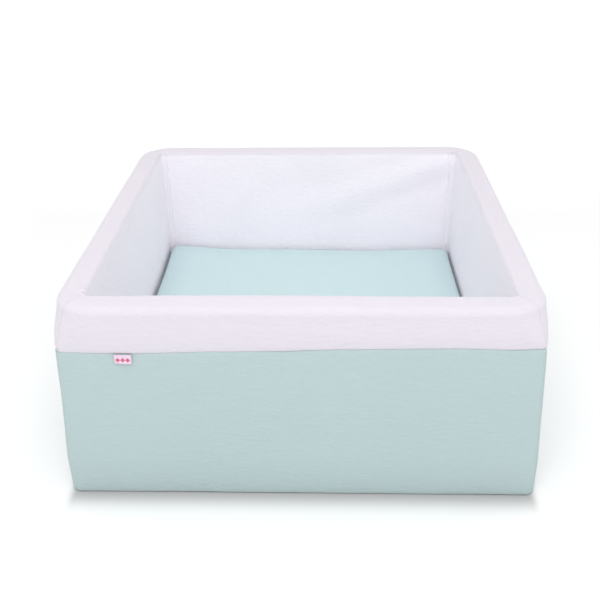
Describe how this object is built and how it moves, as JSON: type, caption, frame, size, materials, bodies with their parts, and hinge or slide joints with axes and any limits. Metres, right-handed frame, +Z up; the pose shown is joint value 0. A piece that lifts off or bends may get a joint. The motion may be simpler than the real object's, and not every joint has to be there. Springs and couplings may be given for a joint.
{
  "type": "soft square playpen",
  "caption": "Square soft playpen with foam walls in a two-tone jersey cover, white over the rim and mint below, and a loose padded mint floor mat.",
  "frame": {"origin": "on the ground under the middle of the playpen", "axes": "+Z up; the front, which has the small label, faces -Y; +X is to the right of someone who looks at the front"},
  "size_m": [0.9, 0.9049, 0.404],
  "materials": {
    "white_jersey": "soft white cotton jersey, fine knit, matt",
    "mint_jersey": "soft mint cotton jersey, fine knit, matt",
    "pale_mint_jersey": "soft pale mint cotton jersey, fine knit, matt",
    "foam": "open-cell upholstery foam, cream, matt",
    "label_tape": "woven label tape with a pink motif, satin",
    "zip_tape": "woven zip tape, matt",
    "zip_plastic": "moulded zip teeth, low gloss",
    "zip_metal": "nickel-coloured slider and stops, satin"
  },
  "bodies": {
    "playpen": {"wall_foam_front": "foam", "rim_cover_front": "white_jersey", "skirt_front": "mint_jersey", "wall_foam_back": "foam", "rim_cover_back": "white_jersey", "skirt_back": "mint_jersey", "wall_foam_left": "foam", "rim_cover_left": "white_jersey", "skirt_left": "mint_jersey", "wall_foam_right": "foam", "rim_cover_right": "white_jersey", "skirt_right": "mint_jersey", "base_cloth": "mint_jersey", "base_foam": "foam", "floor_cloth": "white_jersey", "label": "label_tape", "back_zip_tape_upper": "zip_tape", "back_zip_teeth_upper": "zip_plastic", "back_zip_tape_lower": "zip_tape", "back_zip_teeth_lower": "zip_plastic", "back_zip_stop_closed": "zip_metal", "back_zip_stop_open": "zip_metal"},
    "floor_mat": {"mat_underside": "pale_mint_jersey", "mat_cover": "pale_mint_jersey", "mat_foam": "foam", "mat_zip_tape_upper": "zip_tape", "mat_zip_teeth_upper": "zip_plastic", "mat_zip_tape_lower": "zip_tape", "mat_zip_teeth_lower": "zip_plastic", "mat_zip_stop_closed": "zip_metal", "mat_zip_stop_open": "zip_metal"},
    "back_slider": {"back_zip_slider": "zip_metal"},
    "back_tab": {"back_zip_pull_tab": "zip_metal"},
    "mat_slider": {"mat_zip_slider": "zip_metal"}
  },
  "joints": [
    {"name": "mat_lifts_out", "type": "slide", "parent": "playpen", "child": "floor_mat", "axis": [0, 0, 1], "range_m": [0, 0.5]},
    {"name": "back_zip_travel", "type": "slide", "parent": "playpen", "child": "back_slider", "axis": [1, 0, 0], "range_m": [0, 0.7484]},
    {"name": "back_tab_swing", "type": "hinge", "parent": "back_slider", "child": "back_tab", "pos_m": [-0.3742, 0.453, 0.036], "axis": [0, 0, 1], "range_deg": [0, 175]},
    {"name": "mat_zip_travel", "type": "slide", "parent": "floor_mat", "child": "mat_slider", "axis": [-1, 0, 0], "range_m": [0, 0.6084]}
  ]
}
